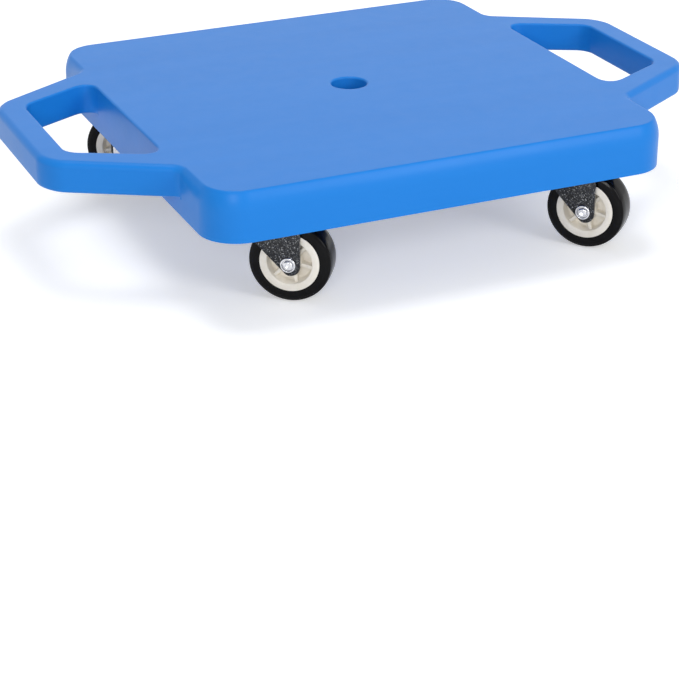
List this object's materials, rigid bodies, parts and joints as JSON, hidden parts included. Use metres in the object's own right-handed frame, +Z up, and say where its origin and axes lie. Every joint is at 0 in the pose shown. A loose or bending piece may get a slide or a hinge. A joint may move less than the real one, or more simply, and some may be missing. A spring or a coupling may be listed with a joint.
{
  "type": "scooter board",
  "caption": "Square moulded plastic scooter board with a handle loop on each side, a centre hole and a swivel caster under each corner.",
  "frame": {"origin": "on the floor, under the middle of the deck", "axes": "+X along the line through both handles, +Y across the board to the back, +Z up"},
  "size_m": [0.442, 0.3, 0.087],
  "materials": {
    "deck_plastic": "satin moulded",
    "zinc_steel": "bright zinc plated",
    "bright_steel": "polished",
    "hub_plastic": "satin moulded",
    "tyre_polyurethane": "glossy"
  },
  "bodies": {
    "board": {"deck": "deck_plastic", "mount_plate_front_left": "zinc_steel", "mount_plate_front_right": "zinc_steel", "mount_plate_rear_left": "zinc_steel", "mount_plate_rear_right": "zinc_steel"},
    "caster_front_left": {"fork_front_left": "zinc_steel", "axle_bolt_front_left": "bright_steel", "axle_nut_front_left": "bright_steel"},
    "wheel_front_left": {"hub_front_left": "hub_plastic", "tyre_front_left": "tyre_polyurethane"},
    "caster_front_right": {"fork_front_right": "zinc_steel", "axle_bolt_front_right": "bright_steel", "axle_nut_front_right": "bright_steel"},
    "wheel_front_right": {"hub_front_right": "hub_plastic", "tyre_front_right": "tyre_polyurethane"},
    "caster_rear_left": {"fork_rear_left": "zinc_steel", "axle_bolt_rear_left": "bright_steel", "axle_nut_rear_left": "bright_steel"},
    "wheel_rear_left": {"hub_rear_left": "hub_plastic", "tyre_rear_left": "tyre_polyurethane"},
    "caster_rear_right": {"fork_rear_right": "zinc_steel", "axle_bolt_rear_right": "bright_steel", "axle_nut_rear_right": "bright_steel"},
    "wheel_rear_right": {"hub_rear_right": "hub_plastic", "tyre_rear_right": "tyre_polyurethane"}
  },
  "joints": [
    {"name": "swivel_front_left", "type": "hinge", "parent": "board", "child": "caster_front_left", "pos_m": [-0.102, -0.102, 0.0573], "axis": [0, 0, 1], "continuous": true},
    {"name": "wheel_spin_front_left", "type": "hinge", "parent": "caster_front_left", "child": "wheel_front_left", "pos_m": [-0.08744, -0.11258, 0.0254], "axis": [0.5878, 0.809, 0], "continuous": true},
    {"name": "swivel_front_right", "type": "hinge", "parent": "board", "child": "caster_front_right", "pos_m": [0.102, -0.102, 0.0573], "axis": [0, 0, 1], "continuous": true},
    {"name": "wheel_spin_front_right", "type": "hinge", "parent": "caster_front_right", "child": "wheel_front_right", "pos_m": [0.11404, -0.11538, 0.0254], "axis": [0.7431, 0.6691, 0], "continuous": true},
    {"name": "swivel_rear_left", "type": "hinge", "parent": "board", "child": "caster_rear_left", "pos_m": [-0.102, 0.102, 0.0573], "axis": [0, 0, 1], "continuous": true},
    {"name": "wheel_spin_rear_left", "type": "hinge", "parent": "caster_rear_left", "child": "wheel_rear_left", "pos_m": [-0.11726, 0.11154, 0.0254], "axis": [-0.5299, -0.848, 0], "continuous": true},
    {"name": "swivel_rear_right", "type": "hinge", "parent": "board", "child": "caster_rear_right", "pos_m": [0.102, 0.102, 0.0573], "axis": [0, 0, 1], "continuous": true},
    {"name": "wheel_spin_rear_right", "type": "hinge", "parent": "caster_rear_right", "child": "wheel_rear_right", "pos_m": [0.08531, 0.10874, 0.0254], "axis": [-0.3746, -0.9272, 0], "continuous": true}
  ]
}
